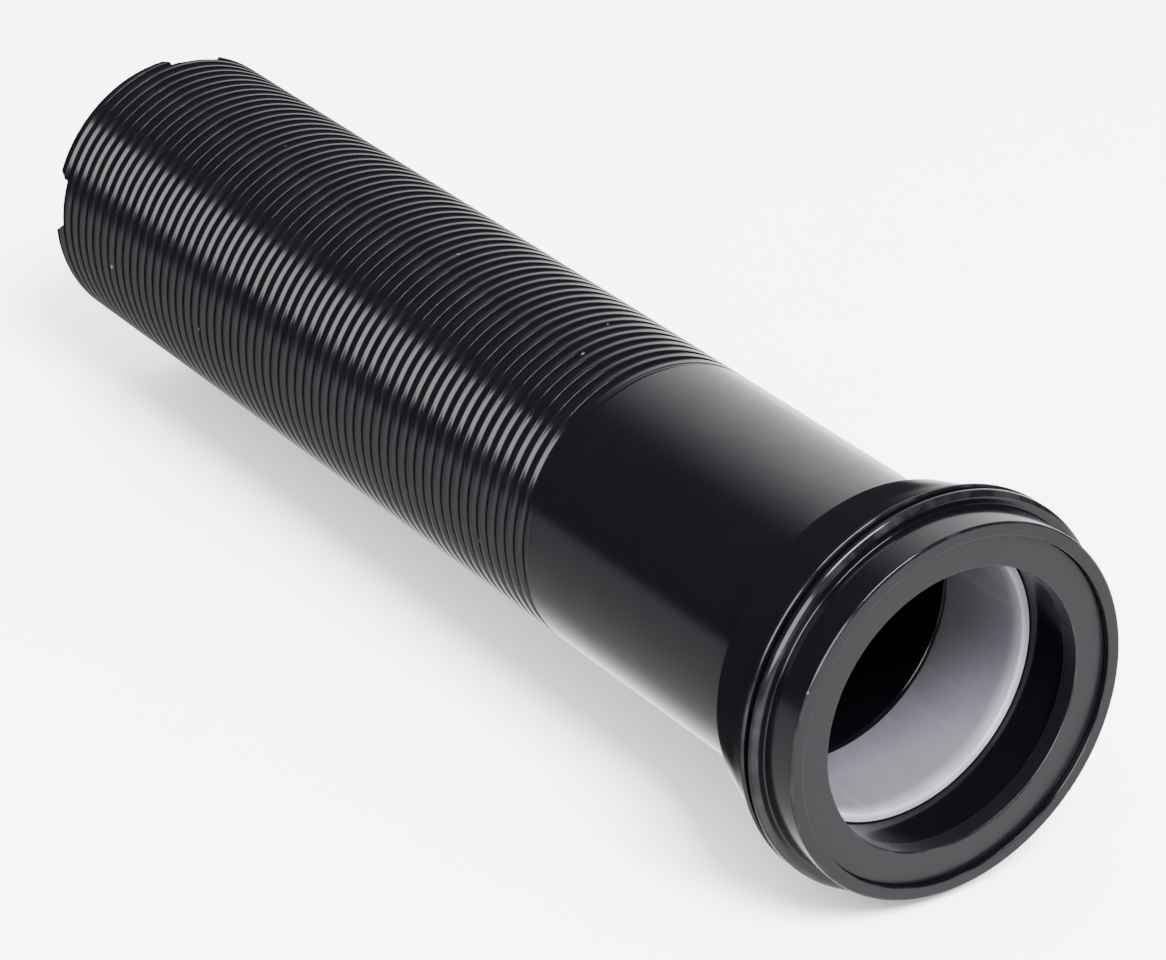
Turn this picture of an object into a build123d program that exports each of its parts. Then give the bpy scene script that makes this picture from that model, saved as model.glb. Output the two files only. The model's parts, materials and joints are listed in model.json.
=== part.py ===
from build123d import *
import os

# Rear-port baffle tube of a small catadioptric telescope, lying level.
# Millimetres. The optical axis is Y, +Z is up, and the nose points to +Y.
# The origin is on the axis, in the plane of the collar's rear shoulder.

# Driving dimensions of the whole tube
thread_pitch = 1.5
tube_radius = 14.40
clear_bore_radius = 13.05
total_length = 130.4
collar_end = 12.1             # depth of the collar's rear shoulder behind the port face
port_y = -collar_end          # plane of the port face
nose_y = port_y + total_length

# Outside thread and notched nose
thread_start = 43.1
thread_depth = 0.50
crest_width = 0.80
root_width = 0.08
nose_chamfer = 0.36
notch_count = 4
notch_width = 7.0
notch_floor_width = 4.8
notch_depth = 1.9
notch_floor_corner = 1.0
notch_rim_corner = 0.5
nose_turn = -8.8              # turn of the first notch from straight up, in degrees

# Front end of the barrel, with the pocket for the guide sleeve
pocket_radius = 13.76
collar_seat_radius = 14.22
seat_lead_in = 0.5            # cone that starts the collar on its seat
barrel_front = 2.45
sleeve_front = 7.54
sleeve_length = 10.71
sleeve_bore_radius = 12.95
sleeve_clearance = 0.06
sleeve_lead_in = 0.25
back_ring_thickness = 0.40
back_ring_bore_radius = 13.14
end_play = 0.02
step_chamfer = 0.15
pocket_end = sleeve_front + sleeve_length + back_ring_thickness + end_play

# Port ring, its face ring and its seal
port_radius = 17.46
ridge_radius = 18.60
ridge_front = 3.72
ridge_back = 4.60
lip_radius = 16.20
recess_depth = 0.63
face_ring_back = 2.40
aperture_radius = 13.16
spigot_radius = 15.90
screw_clearance = 0.05
seal_cord = 1.20
seal_gap = 0.03
seal_y = 4.80
gland_radius = 17.20

# Collar between the seal and the rear shoulder
collar_front = 5.20
collar_edge_back = 5.75
flare_front = 6.44
flare_back_radius = 16.30

# Knife-edge light stops
stop_depths = [58.0, 86.0, 114.0]
stop_thickness = 1.6
stop_opening_radius = 12.0
knife_edge = 0.15
press = 0.01


def rounded_face(points, rounds):
    """Closed flat face with the corners at the given indices rounded."""
    face = Sketch() + make_face(Polyline(*points, close=True))
    for index, size in rounds:
        corner = Vector(points[index][0], points[index][1], 0)
        nearest = face.vertices().sort_by(lambda v: (Vector(v) - corner).length)[0]
        face = fillet(nearest, size)
    return face


def turned(outline, rounds=()):
    """Revolve a closed outline of (radius, depth behind the port face) about the axis."""
    points = [(radius, port_y + depth) for radius, depth in outline]
    return revolve(rounded_face(points, rounds), Axis.Y)


def thread_outline():
    """Grooves at the thread's pitch, from the smooth seat to the nose."""
    flank = (thread_pitch - crest_width - root_width) / 2
    root = tube_radius - thread_depth
    count = int((total_length - 1.0 - thread_start) / thread_pitch)
    outline = []
    for turn in range(count):
        start = thread_start + turn * thread_pitch
        outline.append((tube_radius, start))
        outline.append((root, start + flank))
        outline.append((root, start + flank + root_width))
        outline.append((tube_radius, start + 2 * flank + root_width))
    return outline


def notch_cutter(turn):
    """One open notch in the nose, cut outwards from the axis."""
    reach = tube_radius + 4
    side = notch_width / 2
    floor_side = notch_floor_width / 2
    floor_y = nose_y - notch_depth
    points = [(-side - 2, nose_y + 2), (-side - 2, nose_y), (-side, nose_y), (-floor_side, floor_y)]
    points += [(floor_side, floor_y), (side, nose_y), (side + 2, nose_y), (side + 2, nose_y + 2)]
    rounds = [(2, notch_rim_corner), (3, notch_floor_corner)]
    rounds += [(4, notch_floor_corner), (5, notch_rim_corner)]
    return Rot(0, -turn, 0) * extrude(rounded_face(points, rounds), reach)


def threaded_barrel():
    outline = [(pocket_radius, barrel_front), (collar_seat_radius, barrel_front)]
    outline += [(collar_seat_radius, collar_end), (tube_radius, collar_end)]
    outline += thread_outline()
    outline += [(tube_radius, total_length - nose_chamfer)]
    outline += [(tube_radius - nose_chamfer, total_length)]
    outline += [(clear_bore_radius + 0.3, total_length)]
    outline += [(clear_bore_radius, total_length - 0.3)]
    outline += [(clear_bore_radius, pocket_end + step_chamfer)]
    outline += [(clear_bore_radius + step_chamfer, pocket_end)]
    outline += [(pocket_radius, pocket_end)]
    barrel = turned(outline)
    for index in range(notch_count):
        barrel -= notch_cutter(nose_turn + index * 360 / notch_count)
    return barrel


def seat_collar():
    """Flared collar pressed on the barrel, with the spigot that the port ring screws onto."""
    outline = [
        (collar_seat_radius - press, barrel_front),
        (spigot_radius, barrel_front),
        (spigot_radius, collar_front + 0.2),
        (gland_radius, collar_front + 0.2),
        (gland_radius, collar_front),
        (ridge_radius, collar_front),
        (ridge_radius, collar_edge_back),
        (port_radius + 0.05, flare_front),
        (17.20, 8.9),
        (16.78, 10.5),
        (flare_back_radius, collar_end),
        (collar_seat_radius + seat_lead_in, collar_end),
        (collar_seat_radius - press, collar_end - seat_lead_in),
    ]
    rounds = [(5, 0.22), (6, 0.25), (7, 1.0), (8, 6.0), (9, 6.0), (10, 0.15)]
    return turned(outline, rounds)


def port_ring():
    screw_radius = spigot_radius + screw_clearance
    outline = [
        (lip_radius, 0),
        (port_radius, 0),
        (port_radius, ridge_front),
        (ridge_radius, ridge_front),
        (ridge_radius, ridge_back),
        (gland_radius, ridge_back),
        (gland_radius, seal_y - seal_cord / 2),
        (screw_radius, seal_y - seal_cord / 2),
        (screw_radius, face_ring_back),
        (lip_radius, face_ring_back),
    ]
    return turned(outline, [(0, 0.12), (1, 0.24), (2, 0.15), (3, 0.60), (4, 0.22)])


def face_ring():
    """Flat ring that closes the recess of the port ring and bounds the aperture."""
    outline = [
        (aperture_radius, recess_depth),
        (lip_radius - 0.02, recess_depth),
        (lip_radius - 0.02, face_ring_back),
        (aperture_radius, face_ring_back),
    ]
    return turned(outline, [(0, 0.12), (1, 0.08)])


def port_seal():
    cord_radius = seal_cord / 2 - seal_gap
    centre_radius = spigot_radius + seal_gap + seal_cord / 2
    section = Pos(centre_radius, port_y + seal_y) * Circle(cord_radius)
    return revolve(section, Axis.Y)


def guide_sleeve():
    outer = pocket_radius - sleeve_clearance
    back = sleeve_front + sleeve_length
    outline = [
        (sleeve_bore_radius + sleeve_lead_in, sleeve_front),
        (outer, sleeve_front),
        (outer, back),
        (sleeve_bore_radius, back),
        (sleeve_bore_radius, sleeve_front + sleeve_lead_in),
    ]
    return turned(outline, [(1, 0.12)])


def back_ring():
    """Thin ring on the tail of the guide sleeve, against the step of the pocket."""
    front = sleeve_front + sleeve_length
    outer = pocket_radius - sleeve_clearance
    outline = [
        (back_ring_bore_radius, front),
        (outer, front),
        (outer, front + back_ring_thickness),
        (back_ring_bore_radius, front + back_ring_thickness),
    ]
    return turned(outline)


def light_stop(depth):
    """Knife-edged ring pressed into the bore; its bevel faces the port."""
    outline = [
        (clear_bore_radius + press, depth),
        (clear_bore_radius + press, depth + stop_thickness),
        (stop_opening_radius, depth + stop_thickness),
        (stop_opening_radius, depth + stop_thickness - knife_edge),
        (clear_bore_radius - 0.3, depth),
    ]
    return turned(outline)


nodes = {
    "threaded_barrel": threaded_barrel(),
    "seat_collar": seat_collar(),
    "port_ring": port_ring(),
    "face_ring": face_ring(),
    "port_seal": port_seal(),
    "guide_sleeve": guide_sleeve(),
    "back_ring": back_ring(),
}
for number, depth in enumerate(stop_depths, start=1):
    nodes[f"light_stop_{number}"] = light_stop(depth)

os.makedirs("parts", exist_ok=True)
for name, shape in nodes.items():
    export_step(shape, f"parts/{name}.step")
    print(name, round(shape.volume, 1))
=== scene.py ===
import bpy
import bmesh
import json
import math
from mathutils import Matrix, Vector


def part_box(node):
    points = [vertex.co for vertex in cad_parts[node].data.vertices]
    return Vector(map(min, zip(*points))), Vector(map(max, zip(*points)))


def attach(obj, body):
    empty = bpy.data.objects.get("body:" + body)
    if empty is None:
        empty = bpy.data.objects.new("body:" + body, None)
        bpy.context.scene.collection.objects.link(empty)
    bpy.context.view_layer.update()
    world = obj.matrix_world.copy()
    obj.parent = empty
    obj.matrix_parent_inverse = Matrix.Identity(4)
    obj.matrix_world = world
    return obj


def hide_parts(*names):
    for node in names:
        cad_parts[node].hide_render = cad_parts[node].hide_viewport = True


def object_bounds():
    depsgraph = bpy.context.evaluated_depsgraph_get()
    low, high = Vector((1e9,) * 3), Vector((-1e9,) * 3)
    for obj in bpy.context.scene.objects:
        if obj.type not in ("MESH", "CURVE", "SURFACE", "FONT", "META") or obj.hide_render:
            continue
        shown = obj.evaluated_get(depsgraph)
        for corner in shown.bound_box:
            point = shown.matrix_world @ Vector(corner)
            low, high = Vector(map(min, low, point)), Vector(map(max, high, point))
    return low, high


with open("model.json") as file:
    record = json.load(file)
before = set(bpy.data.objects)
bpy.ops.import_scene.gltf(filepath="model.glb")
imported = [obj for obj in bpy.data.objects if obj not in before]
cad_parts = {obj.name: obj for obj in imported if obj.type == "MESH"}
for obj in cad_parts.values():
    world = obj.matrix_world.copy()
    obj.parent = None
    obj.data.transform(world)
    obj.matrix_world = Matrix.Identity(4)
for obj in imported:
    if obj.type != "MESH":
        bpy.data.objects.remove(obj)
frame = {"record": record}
cadLow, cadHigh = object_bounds()
mounts = {m["name"]: m for m in frame["record"]["mounts"]}
mm = 0.001
turnSteps = 144                     # faces round every turned piece
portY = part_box("port_ring")[0].y    # plane of the port's lip
noseY = cadHigh.y
tubeRadius = mounts["barrel_seat"]["dims"]["r_mm"] / 1000
print("frame loaded, port at", round(portY * 1000, 2), "mm, nose at", round(noseY * 1000, 2), "mm")


# shader helpers

def newMaterial(name):
    material = bpy.data.materials.new(name)
    material.use_nodes = True
    tree = material.node_tree
    tree.nodes.clear()
    return material, tree


def addNode(tree, kind, settings=None, **inputs):
    made = tree.nodes.new(kind)
    for key, value in (settings or {}).items():
        setattr(made, key, value)
    for key, value in inputs.items():
        socket = made.inputs[int(key[1:])] if key[0] == "i" and key[1:].isdigit() else made.inputs[key]
        if isinstance(value, bpy.types.NodeSocket):
            tree.links.new(value, socket)
        else:
            socket.default_value = value
    return made


def maths(tree, operation, *values, clamp=False):
    inputs = {"i" + str(i): value for i, value in enumerate(values)}
    made = addNode(tree, "ShaderNodeMath", {"operation": operation, "use_clamp": clamp}, **inputs)
    return made.outputs[0]


def remap(tree, value, fromLow, fromHigh, toLow, toHigh):
    made = addNode(tree, "ShaderNodeMapRange", {"clamp": True}, i0=value, i1=fromLow, i2=fromHigh,
                   i3=toLow, i4=toHigh)
    return made.outputs[0]


def easeBetween(tree, value, low, high):
    made = addNode(tree, "ShaderNodeMapRange", {"interpolation_type": "SMOOTHSTEP"}, i0=value, i1=low,
                   i2=high, i3=0.0, i4=1.0)
    return made.outputs[0]


def noisePattern(tree, spot, scale, detail):
    return addNode(tree, "ShaderNodeTexNoise", None, Vector=spot, Scale=scale, Detail=detail).outputs[0]


def mixColours(tree, share, first, second):
    made = addNode(tree, "ShaderNodeMix", {"data_type": "RGBA"})
    for socket, value in ((made.inputs[0], share), (made.inputs[6], first), (made.inputs[7], second)):
        if isinstance(value, bpy.types.NodeSocket):
            tree.links.new(value, socket)
        else:
            socket.default_value = value
    return made.outputs[2]


def latheCoordinates(tree):
    # position, and how far a lathe tool has gone along the outline
    spot = addNode(tree, "ShaderNodeTexCoord").outputs["Object"]
    x, y, z = addNode(tree, "ShaderNodeSeparateXYZ", i0=spot).outputs
    squares = maths(tree, "ADD", maths(tree, "MULTIPLY", x, x), maths(tree, "MULTIPLY", z, z))
    return spot, maths(tree, "SUBTRACT", y, maths(tree, "SQRT", squares))


def toolMarks(tree, travel, spacing):
    # rings left by the lathe tool, one noise value per place along the outline
    made = addNode(tree, "ShaderNodeTexNoise", {"noise_dimensions": "1D"}, W=travel, Scale=1 / spacing,
                   Detail=2.0, Roughness=0.6)
    return made.outputs[0]


def closeMaterial(tree, shader):
    output = addNode(tree, "ShaderNodeOutputMaterial")
    tree.links.new(shader.outputs[0], output.inputs[0])


def specks(tree, spot, size, amount):
    # sparse dust: only the middle of a few cells
    cells = addNode(tree, "ShaderNodeTexVoronoi", {"feature": "F1"}, Vector=spot, Scale=1 / size)
    near = remap(tree, cells.outputs["Distance"], 0.06, 0.16, 1.0, 0.0)
    lucky = addNode(tree, "ShaderNodeSeparateColor", i0=cells.outputs["Color"]).outputs[0]
    return maths(tree, "MULTIPLY", near, maths(tree, "LESS_THAN", lucky, amount))


def anodisedBlack(name, look):
    material, tree = newMaterial(name)
    spot, travel = latheCoordinates(tree)
    marks = toolMarks(tree, travel, look["markSpacing"])
    cloud = noisePattern(tree, spot, look["cloudScale"], 4.0)
    dust = specks(tree, spot, look["dustCell"], look["dustAmount"])
    edge = addNode(tree, "ShaderNodeAttribute", {"attribute_name": "edgeWear"}).outputs["Fac"]
    wornPlaces = noisePattern(tree, spot, look["wearScale"], 3.0)
    worn = maths(tree, "MULTIPLY", edge, remap(tree, wornPlaces, *look["wornPlaces"]))
    colour = mixColours(tree, maths(tree, "MULTIPLY", worn, look["wear"]), look["colour"], look["wornColour"])
    colour = mixColours(tree, maths(tree, "MULTIPLY", dust, look["dustCover"]), colour, look["dustColour"])
    smoothest, roughest = look["roughness"] - look["spread"], look["roughness"] + look["spread"]
    roughness = remap(tree, cloud, 0.3, 0.7, smoothest, roughest)
    roughness = maths(tree, "ADD", roughness, maths(tree, "MULTIPLY", marks, look["markRoughness"]))
    dulled = maths(tree, "MULTIPLY", dust, look["dustRoughness"])
    roughness = maths(tree, "ADD", roughness, dulled, clamp=True)
    bump = addNode(tree, "ShaderNodeBump", None, Strength=look["bump"], Distance=look["bumpDistance"],
                   Height=marks)
    shader = addNode(tree, "ShaderNodeBsdfPrincipled", None, Roughness=roughness, IOR=look["ior"])
    tree.links.new(colour, shader.inputs["Base Color"])
    tree.links.new(bump.outputs[0], shader.inputs["Normal"])
    closeMaterial(tree, shader)
    return material


glossLook = {
    "colour": (0.0014, 0.0010, 0.0018, 1), "wornColour": (0.10, 0.10, 0.105, 1),
    "dustColour": (0.08, 0.08, 0.08, 1), "dustCover": 0.6, "dustRoughness": 0.3,
    "roughness": 0.13, "spread": 0.03, "ior": 1.36,
    "markSpacing": 0.00022, "markRoughness": 0.03, "bump": 0.10, "bumpDistance": 0.000003,
    "cloudScale": 260.0, "dustCell": 0.0016, "dustAmount": 0.008,
    "wear": 0.14, "wearScale": 420.0, "wornPlaces": (0.45, 0.7, 0.1, 1.0),
}
satinLook = dict(glossLook, roughness=0.27, spread=0.05, markSpacing=0.00014, markRoughness=0.06, bump=0.05,
                 colour=(0.0022, 0.0017, 0.0027, 1), dustAmount=0.02)
flatLook = dict(glossLook, roughness=0.7, spread=0.06, ior=1.5, bump=0.5, markSpacing=0.0003,
                colour=(0.0014, 0.0011, 0.0018, 1), wear=0.1)


def whitePlastic(name, look):
    material, tree = newMaterial(name)
    spot, travel = latheCoordinates(tree)
    marks = toolMarks(tree, travel, look["markSpacing"])
    cloud = noisePattern(tree, spot, look["cloudScale"], 5.0)
    # faint lines along the bore, where a drawtube has slid
    stretched = addNode(tree, "ShaderNodeMapping", {"vector_type": "POINT"}, Vector=spot)
    stretched.inputs["Scale"].default_value = (1.0, 0.04, 1.0)
    rubs = noisePattern(tree, stretched.outputs[0], look["rubScale"], 3.0)
    rubbed = remap(tree, rubs, 0.56, 0.72, 0.0, 1.0)
    # painted shade: the sleeve is lightest at the mouth, then darkens quickly and further towards its tail,
    # as shade deeper in the bore
    alongAxis = addNode(tree, "ShaderNodeSeparateXYZ", i0=spot).outputs[1]
    depth = maths(tree, "SUBTRACT", alongAxis, look["mouthY"])
    paintedDepthShade = maths(tree, "MULTIPLY", easeBetween(tree, depth, 0.0, look["mouthDepth"]),
                   remap(tree, depth, 0.0, look["boreDepth"], look["paintedShadeNearMouth"], 1.0))
    colour = mixColours(tree, paintedDepthShade, look["colour"], look["paintedShadeColour"])
    colour = mixColours(tree, remap(tree, cloud, 0.35, 0.7, 0.0, 0.5), colour, look["stainColour"])
    colour = mixColours(tree, maths(tree, "MULTIPLY", rubbed, 0.35), colour, look["rubColour"])
    roughness = remap(tree, cloud, 0.3, 0.7, look["roughness"] - 0.05, look["roughness"] + 0.07)
    roughness = maths(tree, "SUBTRACT", roughness, maths(tree, "MULTIPLY", rubbed, 0.1))
    height = maths(tree, "ADD", marks, maths(tree, "MULTIPLY", rubbed, -0.6))
    bump = addNode(tree, "ShaderNodeBump", None, Strength=look["bump"], Distance=look["bumpDistance"],
                   Height=height)
    shader = addNode(tree, "ShaderNodeBsdfPrincipled", None, Roughness=roughness, IOR=1.4)
    shader.inputs["Subsurface Weight"].default_value = 0.15
    shader.inputs["Subsurface Radius"].default_value = (0.0006, 0.0006, 0.0006)
    shader.inputs["Subsurface Scale"].default_value = 1.0
    tree.links.new(colour, shader.inputs["Base Color"])
    tree.links.new(bump.outputs[0], shader.inputs["Normal"])
    closeMaterial(tree, shader)
    return material


sleeveLook = {
    # the tail colour and the share of it near the mouth are painted shade, darker deeper in the bore
    "colour": (0.18, 0.174, 0.20, 1), "paintedShadeColour": (0.054, 0.052, 0.063, 1),
    "stainColour": (0.075, 0.073, 0.087, 1), "rubColour": (0.10, 0.098, 0.115, 1),
    "mouthY": portY + 7.54 * mm, "mouthDepth": 0.0020, "boreDepth": 0.011, "paintedShadeNearMouth": 0.88,
    "roughness": 0.38, "markSpacing": 0.00016, "cloudScale": 160.0, "rubScale": 500.0,
    "bump": 0.2, "bumpDistance": 0.000006,
}


def sealRubber(name, look):
    material, tree = newMaterial(name)
    spot = addNode(tree, "ShaderNodeTexCoord").outputs["Object"]
    grain = noisePattern(tree, spot, look["grainScale"], 6.0)
    colour = mixColours(tree, grain, look["colour"], look["bloomColour"])
    bump = addNode(tree, "ShaderNodeBump", None, Strength=0.4, Distance=0.00001, Height=grain)
    roughness = remap(tree, grain, 0.3, 0.7, look["roughness"] - 0.08, look["roughness"] + 0.08)
    shader = addNode(tree, "ShaderNodeBsdfPrincipled", None, Roughness=roughness)
    tree.links.new(colour, shader.inputs["Base Color"])
    tree.links.new(bump.outputs[0], shader.inputs["Normal"])
    closeMaterial(tree, shader)
    return material


rubberLook = {"colour": (0.008, 0.008, 0.008, 1), "bloomColour": (0.02, 0.02, 0.02, 1), "roughness": 0.62,
              "grainScale": 1800.0}

glossBlack = anodisedBlack("gloss_black", glossLook)
satinBlack = anodisedBlack("satin_black", satinLook)
flatBlack = anodisedBlack("flat_black", flatLook)
whiteSleeve = whitePlastic("white_sleeve", sleeveLook)
blackRubber = sealRubber("seal_rubber", rubberLook)
print("materials made")


# turned pieces: an outline of (radius, depth behind the port's lip) in mm, spun round the optical axis

def outlineEdges(bm, outline, rounds, closed=True):
    verts = [bm.verts.new((radius * mm, portY + depth * mm, 0)) for radius, depth in outline]
    for i in range(len(verts) if closed else len(verts) - 1):
        bm.edges.new((verts[i], verts[(i + 1) % len(verts)]))
    for index, size in rounds.items():
        bmesh.ops.bevel(bm, geom=[verts[index]], offset=size * mm, offset_type="OFFSET", affect="VERTICES",
                        segments=6, profile=0.5, material=-1)
    supportLongEdges(bm)


def supportLongEdges(bm):
    # extra points beside the corners, so that shading doesn't bend along flat stretches
    gap, step = 0.06 * mm, 2.5 * mm
    for edge in bm.edges[:]:
        first, last = edge.verts
        length = edge.calc_length()
        if length < 5 * gap:
            continue
        count = math.ceil((length - 2 * gap) / step)
        places = [gap + (length - 2 * gap) * i / count for i in range(count + 1)]
        chain = [first] + [bm.verts.new(first.co.lerp(last.co, place / length)) for place in places] + [last]
        bm.edges.remove(edge)
        for pair in zip(chain, chain[1:]):
            bm.edges.new(pair)


def spinRound(bm):
    bmesh.ops.spin(bm, geom=bm.verts[:] + bm.edges[:], cent=(0, 0, 0), axis=(0, 1, 0), angle=math.tau,
                   steps=turnSteps, use_merge=True)


def markEdges(bm, share=1.0):
    # how far each point stands out on an edge, for the wear in the black finish
    layer = bm.verts.layers.float.get("edgeWear") or bm.verts.layers.float.new("edgeWear")
    for vert in bm.verts:
        bend = max((edge.calc_face_angle_signed(0.0) for edge in vert.link_edges), default=0.0)
        vert[layer] = share * min(max((bend - 0.12) / 0.3, 0.0), 1.0)


def finishPiece(name, bm, material, body, node, sharpAngle=40):
    bmesh.ops.remove_doubles(bm, verts=bm.verts[:], dist=0.0000005)
    bmesh.ops.recalc_face_normals(bm, faces=bm.faces[:])
    markEdges(bm)
    mesh = bpy.data.meshes.new(name)
    bm.to_mesh(mesh)
    bm.free()
    mesh.shade_smooth()
    mesh.set_sharp_from_angle(angle=math.radians(sharpAngle))
    mesh.materials.append(material)
    piece = bpy.data.objects.new(name, mesh)
    bpy.context.scene.collection.objects.link(piece)
    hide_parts(node)
    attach(piece, body)
    print(name, "made with", len(mesh.polygons), "faces")
    return piece


def turnedPiece(name, look, material, body, node):
    bm = bmesh.new()
    outlineEdges(bm, look["outline"], look["rounds"])
    spinRound(bm)
    return finishPiece(name, bm, material, body, node)


collar = {
    "outline": [(14.23, 2.45), (15.90, 2.45), (15.90, 5.40), (17.20, 5.40), (17.20, 5.20), (18.60, 5.20),
                (18.60, 5.75), (17.51, 6.44), (17.20, 8.9), (16.78, 10.5), (16.30, 12.1), (14.72, 12.1),
                (14.23, 11.6)],
    "rounds": {1: 0.15, 5: 0.22, 6: 0.25, 7: 0.45, 8: 0.7, 9: 0.7, 10: 0.15},
}
turnedPiece("collarFlare", collar, glossBlack, "barrel", "seat_collar")

portRing = {
    "outline": [(16.20, 0), (17.46, 0), (17.46, 3.72), (18.60, 3.72), (18.60, 4.60), (17.20, 4.60),
                (17.20, 4.20), (15.95, 4.20), (15.95, 2.40), (16.20, 2.40)],
    "rounds": {0: 0.12, 1: 0.24, 2: 0.15, 3: 0.60, 4: 0.22},
}
turnedPiece("portRing", portRing, glossBlack, "port", "port_ring")

faceRing = {
    "outline": [(13.16, 0.63), (16.18, 0.63), (16.18, 2.40), (13.16, 2.40)],
    "rounds": {0: 0.16, 1: 0.08, 3: 0.1},
}
turnedPiece("faceRing", faceRing, satinBlack, "port", "face_ring")

sleeve = {
    "outline": [(12.95, 7.54), (13.70, 7.54), (13.70, 18.25), (12.95, 18.25)],
    "rounds": {0: 0.28, 1: 0.12, 3: 0.12},
}
turnedPiece("guideSleeve", sleeve, whiteSleeve, "sleeve", "guide_sleeve")

tailRing = {
    "outline": [(13.14, 18.27), (13.70, 18.27), (13.70, 18.65), (13.14, 18.65)],
    "rounds": {0: 0.06, 3: 0.06},
}
turnedPiece("tailRing", tailRing, flatBlack, "sleeve_tail", "back_ring")

lightStop = {
    "thickness": 1.6, "outer": 13.05, "opening": 12.0, "knifeEdge": 0.15, "bevelFrom": 12.75,
    "depths": {"light_stop_1": 58.0, "light_stop_2": 86.0, "light_stop_3": 114.0},
}
for node, depth in lightStop["depths"].items():
    back = depth + lightStop["thickness"]
    stopOutline = {
        "outline": [(lightStop["outer"], depth), (lightStop["outer"], back), (lightStop["opening"], back),
                    (lightStop["opening"], back - lightStop["knifeEdge"]), (lightStop["bevelFrom"], depth)],
        "rounds": {4: 0.05},
    }
    turnedPiece("lightStop" + node[-1], stopOutline, flatBlack, "barrel", node)

seal = {"centre": 16.53, "cord": 0.57, "depth": 4.80}
bm = bmesh.new()
bmesh.ops.create_circle(bm, segments=24, radius=seal["cord"] * mm, cap_ends=False)
bmesh.ops.translate(bm, verts=bm.verts[:], vec=(seal["centre"] * mm, portY + seal["depth"] * mm, 0))
spinRound(bm)
finishPiece("portSeal", bm, blackRubber, "seal", "port_seal")


# barrel: a real helical thread, the bore with its steps, and the notched nose

barrel = {
    "pitch": 1.5, "threadStart": 43.1, "threadDepth": 0.50, "runOut": 1.7,
    "noseRadius": 14.04, "noseLead": 0.36, "wear": 0.12,
    # thread form from crest to crest: share of the pitch, share of the depth
    "form": [(0.0, 0.0), (0.28, 0.0), (0.30, 0.03), (0.325, 0.13), (0.465, 0.94), (0.50, 1.0), (0.535, 0.94),
             (0.675, 0.13), (0.70, 0.03), (0.72, 0.0)],
    "inside": [(13.35, 130.4), (13.05, 130.1), (13.05, 18.82), (13.20, 18.67), (13.76, 18.67), (13.76, 2.45),
               (14.22, 2.45), (14.22, 12.1), (14.36, 12.1), (14.40, 12.14)],
    "notch": {"width": 7.0, "floorWidth": 4.8, "depth": 1.9, "floorCorner": 1.6, "rimCorner": 1.0,
              "turn": 8.8, "count": 4},
}


def threadSurface(bm):
    pitch = barrel["pitch"] * mm
    startY = portY + barrel["threadStart"] * mm
    turns = math.ceil((noseY - startY) / pitch) + 2
    form = barrel["form"] + [(1.0, 0.0)]
    row = []
    for share, depth in form:
        radius = tubeRadius - depth * barrel["threadDepth"] * mm
        row.append(bm.verts.new((radius, startY + (share - 2) * pitch, 0)))
    edges = [bm.edges.new(pair) for pair in zip(row, row[1:])]
    bmesh.ops.spin(bm, geom=row + edges, cent=(0, 0, 0), axis=(0, 1, 0), dvec=(0, pitch / turnSteps, 0),
                   angle=math.tau, steps=turnSteps, use_merge=False)
    oneTurn = bm.verts[:] + bm.edges[:] + bm.faces[:]
    for turn in range(1, turns + 1):
        copied = bmesh.ops.duplicate(bm, geom=oneTurn)
        verts = [item for item in copied["geom"] if isinstance(item, bmesh.types.BMVert)]
        bmesh.ops.translate(bm, verts=verts, vec=(0, pitch * turn, 0))
    bmesh.ops.remove_doubles(bm, verts=bm.verts[:], dist=0.000001)
    # the groove runs out at the seat, and a chamfer leads onto the thread at the nose
    noseRadius, lead = barrel["noseRadius"] * mm, barrel["noseLead"] * mm
    for vert in bm.verts:
        radius = math.hypot(vert.co.x, vert.co.z)
        fade = min(max((vert.co.y - startY) / (barrel["runOut"] * mm), 0.0), 1.0)
        wanted = tubeRadius - (tubeRadius - radius) * fade * fade * (3 - 2 * fade)
        ahead = noseY - vert.co.y
        wanted = min(wanted, noseRadius + max(ahead, 0.0) * (tubeRadius - noseRadius) / lead)
        close = min(max(1 - ahead / (0.4 * lead), 0.0), 1.0)
        wanted += (noseRadius - wanted) * close
        vert.co.x *= wanted / radius
        vert.co.z *= wanted / radius
        vert.co.y = min(max(vert.co.y, startY), noseY)
    bmesh.ops.remove_doubles(bm, verts=bm.verts[:], dist=0.000001)
    bmesh.ops.dissolve_degenerate(bm, edges=bm.edges[:], dist=0.000001)


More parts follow.
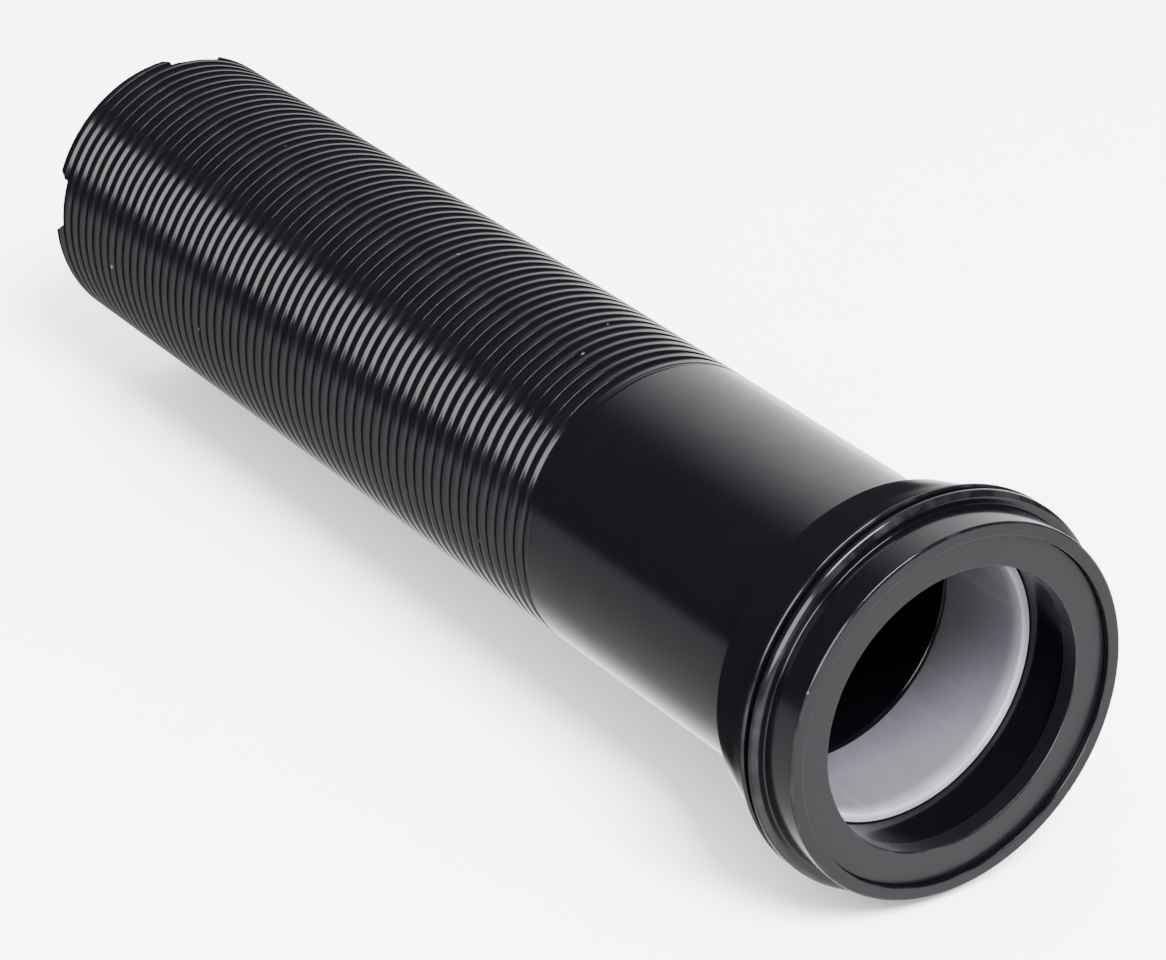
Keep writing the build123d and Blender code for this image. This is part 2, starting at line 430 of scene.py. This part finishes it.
def notchCutters():
    notch = barrel["notch"]
    half, floorHalf = notch["width"] / 2 * mm, notch["floorWidth"] / 2 * mm
    floorY, rimY, side = noseY - notch["depth"] * mm, noseY + 0.02 * mm, 2 * mm
    outline = [(-half - side, noseY + side), (-half - side, rimY), (-half, rimY), (-floorHalf, floorY),
               (floorHalf, floorY), (half, rimY), (half + side, rimY), (half + side, noseY + side)]
    bm = bmesh.new()
    corners = [bm.verts.new((x, y, tubeRadius - 4 * mm)) for x, y in outline]
    bm.faces.new(corners)
    for pair, size in ((corners[3:5], notch["floorCorner"]), ((corners[2], corners[5]), notch["rimCorner"])):
        bmesh.ops.bevel(bm, geom=list(pair), offset=size * mm * 0.55, offset_type="OFFSET", affect="VERTICES",
                        segments=8, profile=0.5, material=-1)
    raised = bmesh.ops.extrude_face_region(bm, geom=bm.faces[:])
    verts = [item for item in raised["geom"] if isinstance(item, bmesh.types.BMVert)]
    bmesh.ops.translate(bm, verts=verts, vec=(0, 0, 7 * mm))
    one = bm.verts[:] + bm.edges[:] + bm.faces[:]
    for i in range(1, notch["count"]):
        copied = bmesh.ops.duplicate(bm, geom=one)
        verts = [item for item in copied["geom"] if isinstance(item, bmesh.types.BMVert)]
        step = Matrix.Rotation(math.tau * i / notch["count"], 3, "Y")
        bmesh.ops.rotate(bm, verts=verts, cent=(0, 0, 0), matrix=step)
    start = Matrix.Rotation(math.radians(notch["turn"]), 3, "Y")
    bmesh.ops.rotate(bm, verts=bm.verts[:], cent=(0, 0, 0), matrix=start)
    bmesh.ops.recalc_face_normals(bm, faces=bm.faces[:])
    mesh = bpy.data.meshes.new("notchCutters")
    bm.to_mesh(mesh)
    bm.free()
    cutters = bpy.data.objects.new("notchCutters", mesh)
    bpy.context.scene.collection.objects.link(cutters)
    return cutters


def makeBarrel():
    bm = bmesh.new()
    threadSurface(bm)
    inside = bmesh.new()
    outlineEdges(inside, [(barrel["noseRadius"], (noseY - portY) / mm)] + barrel["inside"]
                 + [(tubeRadius / mm, barrel["threadStart"])], {}, closed=False)
    spinRound(inside)
    shell = bpy.data.meshes.new("inside")
    inside.to_mesh(shell)
    inside.free()
    bm.from_mesh(shell)
    bpy.data.meshes.remove(shell)
    piece = finishPiece("threadedBarrel", bm, glossBlack, "barrel", "threaded_barrel", 50)
    cutters = notchCutters()
    cut = piece.modifiers.new("notches", "BOOLEAN")
    cut.operation, cut.solver, cut.object = "DIFFERENCE", "EXACT", cutters
    bpy.context.view_layer.update()
    shaped = bpy.data.meshes.new_from_object(piece.evaluated_get(bpy.context.evaluated_depsgraph_get()))
    piece.modifiers.clear()
    old, piece.data = piece.data, shaped
    bpy.data.meshes.remove(old)
    bpy.data.objects.remove(cutters)
    shaped.name = "threadedBarrel"
    bm = bmesh.new()
    bm.from_mesh(shaped)
    markEdges(bm, barrel["wear"])
    bm.to_mesh(shaped)
    bm.free()
    shaped.set_sharp_from_angle(angle=math.radians(50))
    print("nose notched,", len(shaped.polygons), "faces")
    return piece


makeBarrel()


# studio

studio = {
    "floorSize": 8.0, "floorColour": (0.86, 0.86, 0.86, 1), "fill": 4.8, "backdropColour": (1.0, 1.0, 1.0, 1),
    # what gloss sees: a dark room, a bright wall to the right, pale ground, and a dark curtain past the nose
    "room": 0.05, "wall": 2.7, "groundAhead": 1.0, "groundBehind": 2.6,
    "wallAcross": (-0.25, 0.55), "wallAhead": (0.35, 0.60), "curtain": (0.70, 0.80),
    "horizon": (-0.16, -0.04), "behind": -0.2, "inFront": 0.2,
}

bm = bmesh.new()
bmesh.ops.create_grid(bm, x_segments=8, y_segments=8, size=studio["floorSize"] / 2)
bmesh.ops.translate(bm, verts=bm.verts[:], vec=(0, 0, cadLow.z))
floorMesh = bpy.data.meshes.new("floor")
bm.to_mesh(floorMesh)
bm.free()
floor = bpy.data.objects.new("floor", floorMesh)
bpy.context.scene.collection.objects.link(floor)
floorMaterial, tree = newMaterial("pale_floor")
spot = addNode(tree, "ShaderNodeTexCoord").outputs["Object"]
grain = addNode(tree, "ShaderNodeTexNoise", None, Vector=spot, Scale=90.0, Detail=4.0).outputs[0]
shader = addNode(tree, "ShaderNodeBsdfPrincipled", None, Roughness=remap(tree, grain, 0.3, 0.7, 0.55, 0.65))
shader.inputs["Base Color"].default_value = studio["floorColour"]
closeMaterial(tree, shader)
floorMesh.materials.append(floorMaterial)
floor.visible_glossy = False

world = bpy.data.worlds.new("studio")
bpy.context.scene.world = world
world.use_nodes = True
tree = world.node_tree
tree.nodes.clear()
isGloss = addNode(tree, "ShaderNodeLightPath").outputs["Is Glossy Ray"]
way = addNode(tree, "ShaderNodeSeparateXYZ", i0=addNode(tree, "ShaderNodeTexCoord").outputs["Generated"])
across = easeBetween(tree, way.outputs[0], *studio["wallAcross"])
ahead = easeBetween(tree, way.outputs[1], *studio["wallAhead"])
wall = maths(tree, "MULTIPLY", maths(tree, "MULTIPLY", across, ahead), studio["wall"])
below = maths(tree, "SUBTRACT", 1.0, easeBetween(tree, way.outputs[2], *studio["horizon"]))
ground = maths(tree, "MULTIPLY", below, remap(tree, way.outputs[1], studio["behind"], studio["inFront"],
                                              studio["groundBehind"], studio["groundAhead"]))
curtain = maths(tree, "SUBTRACT", 1.0, easeBetween(tree, way.outputs[1], *studio["curtain"]))
shine = maths(tree, "ADD", maths(tree, "MULTIPLY", maths(tree, "ADD", wall, ground), curtain), studio["room"])
strength = maths(tree, "ADD", maths(tree, "MULTIPLY", isGloss, shine),
                 maths(tree, "MULTIPLY", maths(tree, "SUBTRACT", 1.0, isGloss), studio["fill"]))
light = addNode(tree, "ShaderNodeBackground", None, Color=studio["backdropColour"], Strength=strength)
output = addNode(tree, "ShaderNodeOutputWorld")
tree.links.new(light.outputs[0], output.inputs[0])

lamps = {
    # a long upright softbox on the left that only gloss sees
    "leftStrip": {"at": (-0.80, -1.15, 0.54), "facing": (1, 0, 0), "width": 2.2, "height": 0.78,
                  "power": 76.0, "gloss": True},
    # a small one overhead, for the thin arcs on the port ring's edges
    "topStrip": {"at": (-0.20, 0.0, 0.97), "facing": (0.20, 0, -0.97), "width": 0.32, "height": 0.6,
                 "power": 26.0, "gloss": True},
    # a soft light from above the viewer that shines into the port
    "frontTop": {"at": (-0.15, -0.80, 1.00), "facing": (0.15, 0.80, -1.00), "width": 0.5, "height": 0.5,
                 "power": 120.0, "gloss": False},
}


def addLamp(name, look):
    data = bpy.data.lights.new(name, "AREA")
    data.shape, data.energy = "RECTANGLE", look["power"]
    data.size, data.size_y = look["width"], look["height"]
    lamp = bpy.data.objects.new(name, data)
    bpy.context.scene.collection.objects.link(lamp)
    lamp.location = look["at"]
    lamp.rotation_mode = "QUATERNION"
    lamp.rotation_quaternion = Vector(look["facing"]).to_track_quat("-Z", "Y")
    lamp.visible_glossy = look["gloss"]
    lamp.visible_diffuse = not look["gloss"]
    return lamp


for name, look in lamps.items():
    addLamp(name, look)

viewpoint = {"azimuth": -34.33, "elevation": 27.65, "distance": 0.4045, "aim": (-0.0208, 0.0132, 0.0173),
             "lens": 149.3, "sensor": 36.0}


def addCamera():
    azimuth, elevation = math.radians(viewpoint["azimuth"]), math.radians(viewpoint["elevation"])
    back = Vector((math.sin(azimuth) * math.cos(elevation), -math.cos(azimuth) * math.cos(elevation),
                   math.sin(elevation)))
    data = bpy.data.cameras.new("camera")
    data.sensor_width, data.lens = viewpoint["sensor"], viewpoint["lens"]
    data.clip_start, data.clip_end = 0.01, 50.0
    camera = bpy.data.objects.new("camera", data)
    bpy.context.scene.collection.objects.link(camera)
    camera.location = Vector(viewpoint["aim"]) + back * viewpoint["distance"]
    camera.rotation_mode = "QUATERNION"
    camera.rotation_quaternion = back.to_track_quat("Z", "Y")
    bpy.context.scene.camera = camera


addCamera()
print("studio and camera made")
